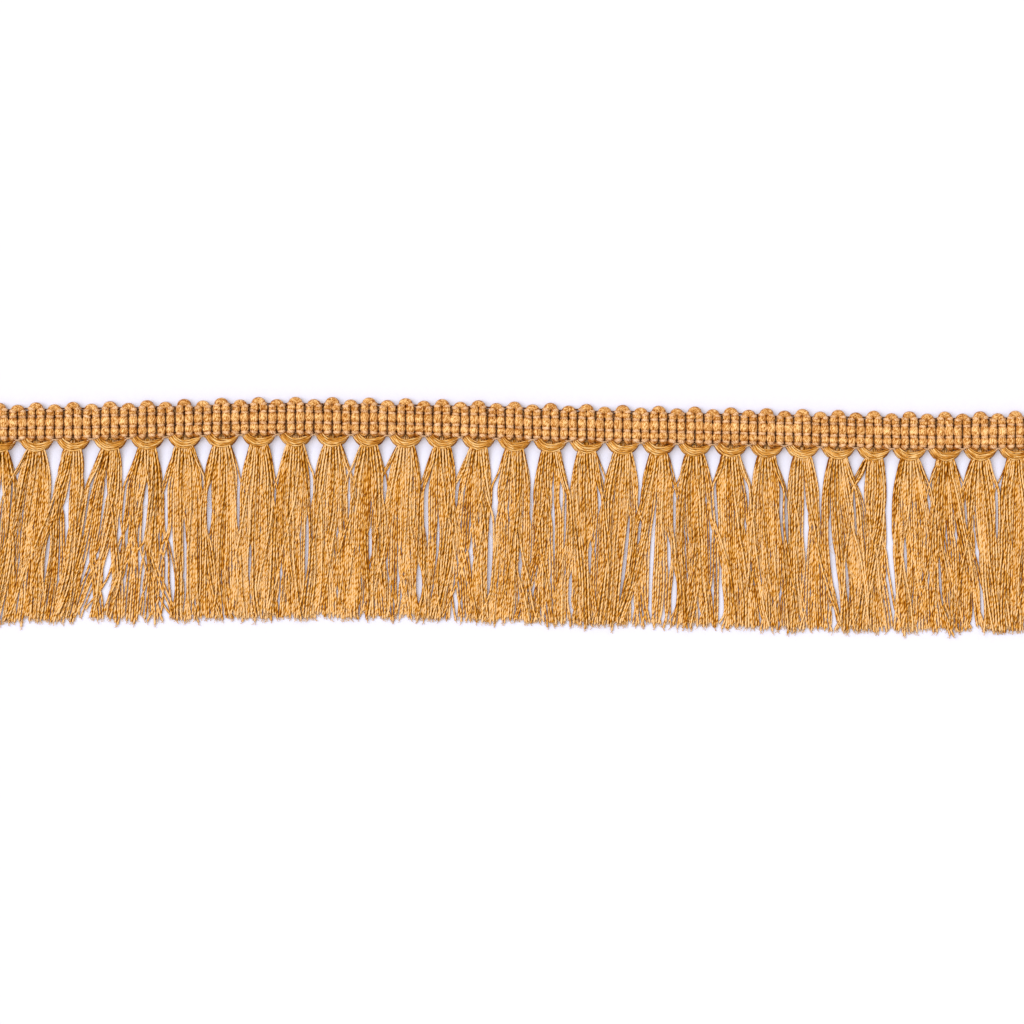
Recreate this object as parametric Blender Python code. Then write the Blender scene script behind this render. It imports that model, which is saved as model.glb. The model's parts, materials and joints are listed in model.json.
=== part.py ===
"""A cut length of tassel fringe trim, lying flat and face up.

A woven heading of paired ribs, with a loop of cord over each pair, carries a row of tassels. Each
tassel is a swag of yarn drawn together under four ribs, with the cut yarns hanging from it.

The trim runs along X, its loops point to +Y and its fringe to -Y. Z is up and the back lies on
Z = 0. The origin is under the middle of the whole trim.
"""

from collections import namedtuple
from math import pi, sin, sqrt

import bmesh
import bpy
import numpy as np

MM = 0.001

# Trim
TASSEL_COUNT = 31
TRIM_START = -0.5  # where the heading is cut, in tassels from the first one
TOP_LINE_Y = 25.9 * MM  # the line of the tall loops' tops, where its rise is 0
DROP = 50.8 * MM  # from the tall loops' tops to the cut ends
CLEARANCE = 0.3 * MM  # between the heading and a tassel's head

# Heading: each loop with its two ribs is four columns wide
COLUMNS_PER_LOOP = 4
COLUMNS_PER_TASSEL = 2 * COLUMNS_PER_LOOP
HEADING_DEPTH = 9.3 * MM  # from a tall loop's top to its ribs' ends
HEADING_RIM = 0.9 * MM  # thickness at the heading's edge
RIB_CREST = 2.2 * MM
RIB_VALLEY = 1.25 * MM
RIB_END = 0.55 * MM  # from a rib's end to its full height
RIB_SCALLOP = 0.4 * MM  # how much shorter the valleys are than the ribs beside them
LOOP_RADIUS = 2.1 * MM
LOOP_NOTCH = 1.7 * MM  # depth of the notch between two loops, under a tall loop's top
LOOP_CORD = 0.8 * MM  # from a loop's top edge to the crest of its cord
LOOP_SPRING = 2.9 * MM  # from the loops' tops to where the ribs part
SHORT_LOOP = 0.5 * MM  # how much less a short loop and its ribs reach, at each end

# Tassel heads
HEAD_HALF_WIDTH = 3.75 * MM
HEAD_DEPTH = 2.1 * MM  # from the swag's upper edge to its lowest point
HEAD_END_DEPTH = 0.55 * MM
HEAD_CREST = 2.4 * MM
HEAD_END_CREST = 1.3 * MM
CREST_PLACE = 0.55  # where the crest runs, as a share of the head's depth
UPPER_SHOULDER = 0.75  # heights of the head's two edges, as shares of its crest
LOWER_SHOULDER = 0.7
HEAD_STEPS = (-1.0, -0.8, -0.35, 0.35, 0.8, 1.0)  # sections across, as shares of the half width

# Locks of yarn
LANE = 0.2  # a lock's share of its tassel's width
LOCK_SHARE = 0.78  # a lock's share of its lane
WIDEST_LOCK = 1.3 * MM
LOCK_SHOULDER = 0.7  # a lock's top is narrower than its underside by this factor
LOCK_STEPS = (0.0, 0.13, 0.45, 1.0)  # sections along a lock, from its root to its cut end
ROOT_INSIDE = 0.75 * MM  # how far the roots reach up into the head from the swag's lowest point
NECK_SHARE = 0.565  # the neck's width, as a share of the tassel's pitch
NECK_POWER = 6  # how soon the yarns spread below the neck
UNEVEN_CUT = 0.9 * MM  # a cut end lies up to this much above or below the others
WAVE = 0.35 * MM  # sideways wave that the whole fringe shares
WAVE_LENGTH = 14.0 * MM
WAVE_TURN = 5.0  # how far the wave turns down the fringe, in radians

# A layer's underside and top at the root, inside the head, and where it lies along the surface
Layer = namedtuple("Layer", "locks shift root lying")
LAYERS = (
    Layer(locks=5, shift=0.0, root=(0.15 * MM, 0.85 * MM), lying=(0.0, 0.65 * MM)),
    Layer(locks=4, shift=-0.03, root=(1.0 * MM, 1.75 * MM), lying=(0.8 * MM, 1.4 * MM)),
)

# The trim lies in a slight bow, and its tassels are not quite evenly spaced
Station = namedtuple("Station", "tassel x_mm rise_mm")
STATIONS = (
    Station(-0.5, -129.1, 0.0),
    Station(0, -124.9, 0.1),
    Station(4, -90.8, 0.65),
    Station(8, -56.4, 1.6),
    Station(12, -22.3, 1.35),
    Station(17, 19.6, 0.0),
    Station(22, 61.3, -0.95),
    Station(27, 102.6, -1.75),
    Station(30, 127.2, -1.4),
    Station(30.5, 131.4, -1.3),
)

# Where the cut ends lie, by the tassel that they hang from, with the slits between them
FanEnd = namedtuple("FanEnd", "tassel x_mm slit_mm")
FAN = (
    FanEnd(-0.5, -131.7, 0.0),
    FanEnd(1.0, -120.6, 0.0),
    FanEnd(3.0, -104.4, 0.0),
    FanEnd(4.1, -96.3, 1.2),
    FanEnd(5.5, -78.4, 2.2),
    FanEnd(7.0, -65.2, 0.0),
    FanEnd(9.0, -49.4, 0.0),
    FanEnd(11.0, -31.1, 0.0),
    FanEnd(13.0, -15.0, 0.0),
    FanEnd(15.0, 1.5, 0.0),
    FanEnd(17.0, 18.7, 0.0),
    FanEnd(18.5, 28.8, 0.8),
    FanEnd(19.5, 40.4, 0.6),
    FanEnd(20.5, 51.5, 1.1),
    FanEnd(22.0, 61.8, 0.0),
    FanEnd(23.5, 76.8, 1.3),
    FanEnd(25.0, 86.3, 0.0),
    FanEnd(27.7, 111.0, 0.8),
    FanEnd(29.0, 118.2, 0.0),
    FanEnd(30.5, 131.0, 0.0),
)
SLIT_EDGE = 1e-6  # the two sides of a slit belong to places this far from it, in tassels
LANE_EDGE = 1e-5  # a lane is read this far inside its edges, so that it ends beside a slit

# Colours
HEADING_COLOUR = (0.56, 0.32, 0.12, 1.0)
HEADING_ROUGHNESS = 0.6
YARN_COLOUR = (0.63, 0.35, 0.09, 1.0)
YARN_ROUGHNESS = 0.45


def smooth_line(tassel, values_mm):
    """A smooth curve through the stations' values, read at a place counted in tassels."""
    knots = np.array([station.tassel for station in STATIONS], float)
    values = np.array(values_mm) * MM
    slopes = np.gradient(values, knots)
    before = int(np.clip(np.searchsorted(knots, tassel) - 1, 0, len(knots) - 2))
    span = knots[before + 1] - knots[before]
    t = (tassel - knots[before]) / span
    return (
        (2 * t**3 - 3 * t**2 + 1) * values[before]
        + (t**3 - 2 * t**2 + t) * span * slopes[before]
        + (3 * t**2 - 2 * t**3) * values[before + 1]
        + (t**3 - t**2) * span * slopes[before + 1]
    )


def line_x(tassel):
    return smooth_line(tassel, [station.x_mm for station in STATIONS])


def line_y(tassel):
    return TOP_LINE_Y + smooth_line(tassel, [station.rise_mm for station in STATIONS])


def fan_x(place):
    """Where a yarn from this place on the heading ends. The two sides of a slit lie apart."""
    places = [row.tassel + side * SLIT_EDGE for row in FAN for side in (-1, 1)]
    ends = [row.x_mm + side * row.slit_mm / 2 for row in FAN for side in (-1, 1)]
    return float(np.interp(place, places, ends)) * MM


def yarn_x(tassel, place, depth):
    """A yarn's place along the trim at a depth from 0, the neck, to 1, the cut ends.

    It runs straight from its place on the heading to its end. It is drawn towards its tassel's
    middle at the neck, and it follows the wave that the whole fringe shares.
    """
    straight = (1 - depth) * line_x(place) + depth * fan_x(place)
    drawn_in = (1 - NECK_SHARE) * (1 - depth) ** NECK_POWER * (line_x(place) - line_x(tassel))
    x = straight - drawn_in
    return x + WAVE * depth * sin(2 * pi * x / WAVE_LENGTH + WAVE_TURN * depth)


def uneven(number):
    """A value from -1 to 1 that jumps about from one number to the next."""
    return sin(12.9898 * number + 78.233 * sin(number))


def lofted(name, bodies):
    """A mesh of closed bodies, each run through its rings of points, with flat ends."""
    mesh = bpy.data.meshes.new(name)
    form = bmesh.new()
    for rings_of_points in bodies:
        rings = [[form.verts.new(point) for point in ring] for ring in rings_of_points]
        for ring, after in zip(rings, rings[1:]):
            for corner in range(len(ring)):
                form.faces.new((ring[corner - 1], ring[corner], after[corner], after[corner - 1]))
        form.faces.new(reversed(rings[0]))
        form.faces.new(rings[-1])
    bmesh.ops.recalc_face_normals(form, faces=form.faces)
    form.to_mesh(mesh)
    form.free()
    return mesh


def heading_ring(column):
    """The heading cut across at a loop's middle, at one of its two ribs or at the notch beside it."""
    place = TRIM_START + column / COLUMNS_PER_TASSEL
    quarter = column % COLUMNS_PER_LOOP
    at_middle, at_notch = quarter == 0, quarter == 2
    at_rib = not at_middle and not at_notch
    tall = (column + 2) // COLUMNS_PER_LOOP % 2 == 1
    line = line_y(place)
    if at_notch:
        top, short = line - LOOP_NOTCH, SHORT_LOOP / 2
    else:
        across = 0.5 if at_rib else 0.0
        short = 0.0 if tall else SHORT_LOOP
        top = line - short - LOOP_RADIUS * (1 - sqrt(1 - across**2))
    end = line - HEADING_DEPTH + short + (0.0 if at_rib else RIB_SCALLOP)
    rib_height = RIB_CREST if at_rib else RIB_VALLEY
    loop_height = RIB_VALLEY if at_notch else RIB_CREST
    profile = (
        (end, 0.0),
        (end, HEADING_RIM),
        (end + RIB_END, rib_height),
        (line - LOOP_SPRING, rib_height),
        (top - LOOP_CORD, loop_height),
        (top, HEADING_RIM),
        (top, 0.0),
    )
    x = line_x(place)
    return [(x, y, z) for y, z in profile]


def head_ring(tassel, step):
    """A tassel's head cut at one place across: deep in its middle, narrow at its two ends."""
    swell = sqrt(1 - step**2)
    depth = HEAD_END_DEPTH + (HEAD_DEPTH - HEAD_END_DEPTH) * swell
    crest = HEAD_END_CREST + (HEAD_CREST - HEAD_END_CREST) * swell
    upper = line_y(tassel) - HEADING_DEPTH - CLEARANCE + SHORT_LOOP * step**2
    profile = (
        (upper - depth, 0.0),
        (upper - depth, LOWER_SHOULDER * crest),
        (upper - CREST_PLACE * depth, crest),
        (upper, UPPER_SHOULDER * crest),
        (upper, 0.0),
    )
    x = line_x(tassel) + step * HEAD_HALF_WIDTH
    return [(x, y, z) for y, z in profile]


def lock_rings(tassel, layer, number):
    """One lock of yarn, four-sided, from its root inside the head to its cut end."""
    place = tassel + LANE * (number - (layer.locks - 1) / 2) + layer.shift
    neck_y = line_y(tassel) - HEADING_DEPTH - CLEARANCE - HEAD_DEPTH
    root_y = neck_y + ROOT_INSIDE
    length = DROP - HEADING_DEPTH - CLEARANCE - HEAD_DEPTH + ROOT_INSIDE
    lean = fan_x(place) - line_x(place)
    cut = UNEVEN_CUT * uneven(place / LANE)
    end_y = root_y - sqrt(length**2 - lean**2) + cut
    half_lane = LANE / 2 - LANE_EDGE
    rings = []
    for depth in LOCK_STEPS:
        x = yarn_x(tassel, place, depth)
        y = root_y + (end_y - root_y) * depth
        lane = yarn_x(tassel, place + half_lane, depth) - yarn_x(tassel, place - half_lane, depth)
        half = min(LOCK_SHARE * lane, WIDEST_LOCK) / 2
        low, high = layer.root if depth == 0 else layer.lying
        underside = [(x - half, y, low), (x + half, y, low)]
        top = [(x + half * LOCK_SHOULDER, y, high), (x - half * LOCK_SHOULDER, y, high)]
        rings.append(underside + top)
    return rings


def surface_material(name, colour, roughness):
    material = bpy.data.materials.new(name)
    material.use_nodes = True
    shader = material.node_tree.nodes["Principled BSDF"]
    shader.inputs["Base Color"].default_value = colour
    shader.inputs["Roughness"].default_value = roughness
    shader.inputs["Metallic"].default_value = 0.0
    return material


def placed(name, mesh, collection):
    thing = bpy.data.objects.new(name, mesh)
    collection.objects.link(thing)
    return thing


def add_heading(collection):
    last = TASSEL_COUNT * COLUMNS_PER_TASSEL
    mesh = lofted("heading", [[heading_ring(column) for column in range(last + 1)]])
    mesh.materials.append(surface_material("heading_gimp", HEADING_COLOUR, HEADING_ROUGHNESS))
    placed("heading", mesh, collection)


def add_tassel(tassel, collection, cutters):
    """One tassel: a Boolean union joins the roots of its locks to its head."""
    number = f"{tassel + 1:02d}"
    mesh = lofted(f"tassel_{number}", [[head_ring(tassel, step) for step in HEAD_STEPS]])
    mesh.materials.append(surface_material(f"yarn_{number}", YARN_COLOUR, YARN_ROUGHNESS))
    head = placed(f"tassel_{number}", mesh, collection)
    rings = [lock_rings(tassel, layer, lock) for layer in LAYERS for lock in range(layer.locks)]
    locks = placed(f"locks_{number}", lofted(f"locks_{number}", rings), cutters)
    locks.hide_render = True
    locks.display_type = "WIRE"
    union = head.modifiers.new("join_locks", "BOOLEAN")
    union.operation = "UNION"
    union.solver = "EXACT"
    union.object = locks


def main():
    for thing in list(bpy.data.objects):
        bpy.data.objects.remove(thing, do_unlink=True)
    collection = bpy.data.collections.new("tassel_fringe_trim")
    cutters = bpy.data.collections.new("cutters")
    bpy.context.scene.collection.children.link(collection)
    bpy.context.scene.collection.children.link(cutters)
    add_heading(collection)
    for tassel in range(TASSEL_COUNT):
        add_tassel(tassel, collection, cutters)


main()
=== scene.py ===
"""A cut length of tassel fringe in old gold, lying flat and face up.

The heading is one thick gimp cord that runs up and down as ribs, with a loop over each pair, held by
rows of binding thread. Below it hangs a row of tassels: the yarns of each come out from under a swag
of the same yarn that is drawn round their neck.

The trim runs along X, its loops point to +Y, its fringe to -Y, and it lies on Z = 0. Lengths are in
metres, and a place on the trim is counted in tassels, with the first one at 0.
"""

import json
from collections import namedtuple

import bpy
import numpy as np
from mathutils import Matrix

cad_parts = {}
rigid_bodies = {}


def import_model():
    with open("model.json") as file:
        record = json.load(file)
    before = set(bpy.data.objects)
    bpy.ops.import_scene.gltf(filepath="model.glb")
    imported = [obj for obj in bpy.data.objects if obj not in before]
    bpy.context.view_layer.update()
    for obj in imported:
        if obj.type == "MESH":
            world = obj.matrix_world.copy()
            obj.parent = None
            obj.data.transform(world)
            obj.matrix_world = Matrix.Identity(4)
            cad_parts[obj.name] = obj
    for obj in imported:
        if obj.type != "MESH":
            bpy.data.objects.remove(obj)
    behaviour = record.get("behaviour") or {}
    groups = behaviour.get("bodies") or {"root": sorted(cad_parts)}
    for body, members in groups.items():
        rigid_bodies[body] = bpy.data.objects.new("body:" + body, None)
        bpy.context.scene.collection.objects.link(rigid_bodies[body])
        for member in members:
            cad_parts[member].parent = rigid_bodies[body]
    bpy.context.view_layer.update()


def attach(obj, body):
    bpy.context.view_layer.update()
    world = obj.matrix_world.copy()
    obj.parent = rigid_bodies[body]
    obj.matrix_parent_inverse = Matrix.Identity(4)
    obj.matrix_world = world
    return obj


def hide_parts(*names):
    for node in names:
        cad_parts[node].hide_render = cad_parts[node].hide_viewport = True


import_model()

MM = 0.001

# Trim
TASSEL_COUNT = 31
TRIM_START = -0.5  # where the heading is cut
TOP_LINE_Y = 25.9 * MM  # the line of the tall loops' tops, where its rise is 0
DROP = 50.8 * MM  # from the tall loops' tops to the cut ends

# Heading
RIBS_PER_TASSEL = 4
RIB_COUNT = TASSEL_COUNT * RIBS_PER_TASSEL
HEADING_DEPTH = 9.3 * MM  # from a tall loop's top to its ribs' ends
SHORT_LOOP = 0.5 * MM  # how much less a short loop and its ribs reach, at each end
CORD_LEVEL = 1.2 * MM  # height of the gimp cord's middle
LOOP_CORD = 0.78 * MM  # half the cord's width where it loops
LOOP_RISE = 0.95 * MM  # from a loop's spring to the middle of its cord at the top
LOOP_PINCH = 0.19  # how much nearer the cord runs to a loop's middle than its ribs do, as a share
PINCH_FADE = 0.3  # the share of a rib's leg in which that wears off
LOOP_DIP = 0.15 * MM  # how much lower than its ribs a loop's top lies
LOOP_STATIONS = 9  # in half a loop, in a leg and in half a turn
LEG_STATIONS = 23
TURN_STATIONS = 6
SAME_PLACE = 0.001 * MM  # two stations nearer than this are one
TURN_DROP = 0.32 * MM  # from a rib's end to the middle of the cord where it turns to the next
TURN_WIDE = 0.62 * MM  # half the cord's width in a turn, and its half height
TURN_HIGH = 0.55 * MM
TURN_DIP = 0.55 * MM  # how far behind the ribs a turn runs
TURN_SQUARENESS = 0.7  # power of the sine and cosine of a turn, 1 in a round one
TURN_FADE = 5  # power of the sine by which a turn becomes narrow and low
BEAD_WIDE = 1.04 * MM  # half the cord's width between two rows of binding, and its half height
BEAD_HIGH = 0.90 * MM
WAIST_WIDE = 0.29  # how much a row of binding draws the cord in, as a share of its width
WAIST_HIGH = 0.46  # the same of its height
WAIST_LENGTH = 0.50 * MM  # of the bell curve along the cord by which it does
LOOP_SHADE = 0.10  # how much darker the cord is at a loop's top, and its painted shade in a waist and in a turn
WAIST_PAINTED_SHADE = 0.36
TURN_PAINTED_SHADE = 0.25
BINDING_NARROW = 0.18 * MM  # half the thread's width between two ribs
BINDING_WIDE = 0.50 * MM  # the same on a rib
BINDING_HIGH = 0.25 * MM  # half its height
BINDING_OVER = 1.62 * MM  # the height of its middle on a rib
BINDING_UNDER = 0.38 * MM
BINDING_REACH = 0.76 * MM  # from a rib's middle to where it comes down beside the rib
BINDING_NEXT = 2.2  # times that from a rib's middle to halfway to the next rib it goes over
BINDING_SQUARENESS = 0.8  # power of the sine and cosine of its arch
BINDING_STATIONS = 11  # over a rib
BINDING_VALLEY_PAINTED_SHADE = -0.6  # its painted shade in the valleys between the ribs
BINDING_RIB_PAINTED_LIGHT = 0.7  # painted light: how much lighter it is on a rib
GROUND_LEVEL = 0.24 * MM  # the threads behind the ribs
GROUND_WIDE = 0.42 * MM
GROUND_HIGH = 0.16 * MM
GROUND_THREADS = 9
GROUND_DEPTHS_MM = (2.3, 8.6)  # of the first and the last one
GROUND_INSET = 0.1  # from the trim's cut to theirs, in tassels
# the painted shade of the threads that lie behind the ribs
GROUND_PAINTED_SHADE = -0.10
TIE_DEPTH = 8.75 * MM  # the fine threads crossed between two tassels
TIE_YARN = 0.10 * MM  # half a thread's width
TIE_LEVEL_MM = 1.95  # of their crossing
TIE_APART_MM = 0.1  # how far each lies above or below that
TIE_DROP_MM = 0.9  # how far their ends lie below it
TIE_SAG = 0.3 * MM
TIE_STATIONS = 9
TIE_SHADE = 0.6

# How uneven the heading's parts are
BEAD_UNEVEN = 0.05  # in size, as a share
BEAD_ASIDE_MM = 0.07
BINDING_ASIDE_MM = 0.09
BINDING_SWAY_MM = 0.08
BINDING_SPREAD = (0.75, 1.15)  # of its width on a rib, as a share
BINDING_TONES = (-0.05, 0.15)
TIE_REACH_MM = (0.9, 1.5)  # half a thread's length along the heading
TIE_RISE_MM = (0.25, 0.55)

# Swags
SWAG_YARNS = 4
SWAG_HALF_WIDTH = 3.75 * MM
SWAG_YARN = 0.29 * MM
SWAG_EDGE = 0.05 * MM  # from the ribs' ends to the swag's upper edge
SWAG_FRONT = (-1.0, -0.72, -0.36, 0.0, 0.36, 0.72, 1.0)  # control points, as shares of the half width
SWAG_BACK = (0.62, 0.0, -0.62)
SWAG_BETWEEN = 4  # stations from each control point to the next
SWAG_FAN_MM = (0.38, 0.52)  # how much further out each next lower yarn starts
SWAG_GATHER_MM = 0.04  # how much further in each ends at the right
SWAG_DEPTH_MM = (0.45, 0.50)  # how low the upper yarn hangs, and how much lower each next one
SWAG_LEFT_LIFT_MM = (0.85, -0.05)  # how high the ends are at the left, likewise
SWAG_RIGHT_LIFT_MM = (0.60, -0.08)
SWAG_BACK_DEPTH_MM = (0.1, 0.42)
SWAG_HANG = 2.1  # power of the way across by which a yarn hangs
SWAG_LEVELS_MM = (1.75, 2.10, 2.05, 1.75)  # of the yarns' middles in front
SWAG_END_LEVEL = 1.0 * MM
SWAG_BACK_LEVEL = 0.38 * MM
SWAG_SWELL = 0.12  # how much thicker a yarn is where they come together, as a share
SWAG_SHADE = 0.12
SWAG_RIGHT_PAINTED_SHADE = -0.28  # painted shade added to it at the right
SWAG_SHADE_POWER = 1.5

# Fringe
YARNS = 24  # in a tassel
STRAYS = 3  # of them, thin ones that leave it early
LOCKS = 6  # that its yarns gather in
LOCK_MIXING = 2.0  # how many locks' places one changes to reach its end
YARN = 0.29 * MM  # half the yarn's width
STRAY_YARN = 0.22 * MM
YARN_SPACE = 0.67 * MM  # how near two yarns' middles come
YARN_STATIONS = 64
YARN_CLEARANCE = 1.16  # its middle lies this many times its half width above the ground, or more
LEVELS = 28  # cuts across the fringe where the yarns are laid beside one another
NECK_DEPTH = 2.0 * MM  # from the ribs' ends to where the yarns leave the swag
ROOT_INSIDE = 0.9 * MM
ROOT_RISE = 1.4 * MM  # how far they run on, up behind the swag and the ribs' ends
ROOT_LEVEL = 0.35 * MM  # the height of their upper ends, and how much of a yarn's own is added
ROOT_SLOPE = 0.2
ROOT_CEILING = 1.75 * MM  # no yarn lies higher than this in the swag
CUT_MM = (-0.7, 0.8)  # how much shorter a yarn is cut than the fringe's line
LONG_YARNS = 0.15  # the share of yarns that are cut longer, and by how much
LONG_CUT_MM = (0.3, 1.0)
FRAY_START_MM = 1.2  # from where a yarn starts to fray and to get painted light, over one millimetre, to its end
FRAY = 0.15  # how much thicker that makes it, as a share
UNDER_YARNS = 60  # per cent of a tassel's yarns that lie under its level with no painted shade or light
UNDER_RANGE = 0.35 * MM  # a yarn that lies this far under that level has the deepest painted shade
UNDER_PAINTED_SHADE = 0.65  # how much darker that painted shade is
OVER_RANGE = 0.10  # how far a yarn over the level becomes lighter, as painted light, as a share of the range under it
LOCK_SHADE = 0.05  # how much locks differ in shade
CUT_PAINTED_LIGHT = 0.21  # painted light: how much lighter a cut end is
FIBRE_PAINTED_LIGHT = 0.35  # painted light: how much lighter single fibres are
HAIRS = 2  # fibres that stand out of a cut end
HAIR = 0.07 * MM  # half its width
HAIR_LENGTH_MM = (0.3, 0.9)
HAIR_BEND_MM = 0.3
HAIR_BEND_SHARES = (1.0, 0.3, 0.3)  # of that along each axis
HAIR_APART_MM = 0.15
HAIR_APART_SHARES = (1.0, 0.0, 0.4)
LOOSE = 34  # fine fibres that have come loose, in a tassel
LOOSE_FIBRE = 0.045 * MM  # half its width
LOOSE_LENGTH_MM = (1.5, 4.5)
LOOSE_BEND_MM = 0.7
LOOSE_ABOVE = 14  # stations of a yarn above the first loose fibre, and below the last
LOOSE_BELOW = 6
LOOSE_LOOK = 5  # stations over which a yarn's direction is read
FIBRE_STATIONS = 5
NECK_SHARE = 0.43  # the width of the outer yarns' middles at the neck, as a share of the tassel's pitch
NECK_REACH = 0.30  # the depth at which the yarns of two tassels meet
NECK_POWER = 1.15  # of the share by which a tassel's yarns are drawn in above that
FAN_POWER = 1.25  # how much more the yarns lean towards their ends
WAVE = 0.35 * MM  # sideways wave that the whole fringe shares
WAVE_LENGTH = 14.0 * MM
WAVE_TURN = 5.0

# How the yarns of a tassel are mixed. A place is counted in tassels and a depth from 0 to 1
STRAY_ROOTS = (0.3, 0.5)  # how far from their tassel's middle strays start
STRAY_CROSSING = (0.1, 0.45)  # and how much further out they end
STRAY_POWER = 0.6  # of the depth by which they do
CROSSING_YARNS = 0.34  # the share of the other yarns that cross their neighbours
CROSSING = 0.30  # how far they do, in tassels
CROSSING_POWER = 1.3  # of the depth by which they do
CROSSING_LAYER = 1.2  # how many layers higher those start
LOCK_SPREAD = 0.012  # by chance, how far from its lock's middle the point lies that a yarn is drawn to
GATHER = 0.25  # how much of the way a yarn is drawn to its lock's middle
GATHER_RATE = 3  # 1 over the depth by which it is
GATHER_LOSS = 0.5  # the share of that which is lost again by the cut ends
Sway = namedtuple("Sway", "aside waves")  # how far a wave goes aside, and how many there are
LOCK_SWAY = Sway(0.75 * MM, (0.6, 1.2))
YARN_SWAY = Sway(0.40 * MM, (0.8, 1.6))
CRIMP = Sway(0.23 * MM, (3.0, 6.0))
CRIMP_RATE = 5  # 1 over the depth at which the crimp is full

# How the yarns settle
ROUNDS = 120
PUSH = 0.22  # the share of an overlap that two yarns push each other apart in a round
SINK = 0.07 * MM  # how far a yarn sinks in a round
PULL = 0.04  # the share of the way back to its line that it is pulled in a round
NECK_PULL = 0.16  # what is added to that at the neck
SMOOTHING = 0.2
LAYERS = 3  # that they start in
LAYER_LEVEL_MM = 0.80  # the height of the lowest, and from each to the next
LAYER_STEP_MM = 0.48
SLIT_HOLD = 2 * MM  # a yarn further than this from a slit's middle isn't moved by it

# The trim lies in a slight bow, and its tassels are not quite evenly spaced
Station = namedtuple("Station", "tassel x_mm rise_mm")
STATIONS = (
    Station(-0.5, -129.1, 0.0),
    Station(0, -124.9, 0.1),
    Station(4, -90.8, 0.65),
    Station(8, -56.4, 1.6),
    Station(12, -22.3, 1.35),
    Station(17, 19.6, 0.0),
    Station(22, 61.3, -0.95),
    Station(27, 102.6, -1.75),
    Station(30, 127.2, -1.4),
    Station(30.5, 131.4, -1.3),
)

# Where the cut ends lie, by the tassel that they hang from, with the slits between them
FanEnd = namedtuple("FanEnd", "tassel x_mm slit_mm")
FAN = (
    FanEnd(-0.5, -131.7, 0.0),
    FanEnd(1.0, -120.6, 0.0),
    FanEnd(3.0, -104.4, 0.0),
    FanEnd(4.1, -96.3, 1.2),
    FanEnd(5.5, -78.4, 2.2),
    FanEnd(7.0, -65.2, 0.0),
    FanEnd(9.0, -49.4, 0.0),
    FanEnd(11.0, -31.1, 0.0),
    FanEnd(13.0, -15.0, 0.0),
    FanEnd(15.0, 1.5, 0.0),
    FanEnd(17.0, 18.7, 0.0),
    FanEnd(18.5, 28.8, 0.8),
    FanEnd(19.5, 40.4, 0.6),
    FanEnd(20.5, 51.5, 1.1),
    FanEnd(22.0, 61.8, 0.0),
    FanEnd(23.5, 76.8, 1.3),
    FanEnd(25.0, 86.3, 0.0),
    FanEnd(27.7, 111.0, 0.8),
    FanEnd(29.0, 118.2, 0.0),
    FanEnd(30.5, 131.0, 0.0),
)
SLIT_EDGE = 1e-6  # the two sides of a slit belong to places this far from it
SLIT_SHARE = 0.85  # of its width in the table, because yarns stand off its edges
SLIT_PLACES = 2000  # tried for the fan line that goes through a slit's middle
# The chance slits below the gaps between tassels
CHANCE_SLIT_ABOVE = (0.15, 0.26)
CHANCE_SLIT_LONG = (0.10, 0.34)
CHANCE_SLIT_WIDE_MM = (0.3, 0.8)
CHANCE_SLIT_ASIDE = (-0.08, 0.08)

# Slits inside the fringe: where each one's middle lies and between which depths it is open
Slit = namedtuple("Slit", "x_mm above below wide_mm")
SLITS = (
    Slit(-105.3, 0.51, 0.73, 0.9),
    Slit(-97.2, 0.71, 0.83, 0.9),
    Slit(-91.6, 0.62, 0.82, 1.9),
    Slit(-88.6, 0.39, 0.58, 0.9),
    Slit(-82.8, 0.21, 0.60, 1.2),
    Slit(-76.5, 0.68, 0.90, 1.2),
    Slit(-73.5, 0.41, 0.89, 0.7),
    Slit(-67.9, 0.23, 0.53, 1.2),
    Slit(-58.4, 0.56, 0.79, 0.7),
    Slit(-45.2, 0.42, 0.79, 0.9),
    Slit(-30.6, 0.49, 0.70, 0.7),
    Slit(-19.2, 0.72, 0.90, 1.6),
    Slit(-14.8, 0.43, 0.67, 0.7),
    Slit(-2.8, 0.37, 0.87, 1.2),
    Slit(4.2, 0.60, 0.75, 0.7),
    Slit(13.7, 0.20, 0.35, 0.9),
    Slit(15.8, 0.71, 0.90, 0.9),
    Slit(20.4, 0.52, 0.72, 0.7),
    Slit(28.5, 0.37, 0.90, 0.9),
    Slit(31.8, 0.39, 0.56, 0.7),
    Slit(38.7, 0.51, 0.69, 0.9),
    Slit(39.9, 0.72, 0.95, 1.4),
    Slit(48.9, 0.20, 0.41, 0.9),
    Slit(51.2, 0.75, 0.98, 1.2),
    Slit(64.9, 0.18, 0.50, 1.2),
    Slit(77.0, 0.39, 0.93, 1.4),
    Slit(80.0, 0.60, 0.83, 0.7),
    Slit(93.5, 0.45, 0.68, 0.7),
    Slit(101.6, 0.59, 0.82, 0.7),
    Slit(111.3, 0.77, 0.95, 0.9),
)

# Camera, straight above
VIEW_WIDTH = 237.5 * MM
VIEW_CENTRE = (2.32 * MM, 0.85 * MM)
VIEW_HEIGHT = 0.9
SENSOR = 36.0  # in millimetres, as a camera counts it

# The maps of a mesh
PATTERN_STEP = 97.0  # how many millimetres further on the pattern of each next path starts
LANE_EDGE = 0.06  # bare margins of a tube's lane on the bake map, and of its ends
LANE_END = 0.01
CAP_WIDE = 0.3  # half the width of a flat end there, and its half height
CAP_HIGH = 0.004
CAP_EDGE = 0.005

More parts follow.
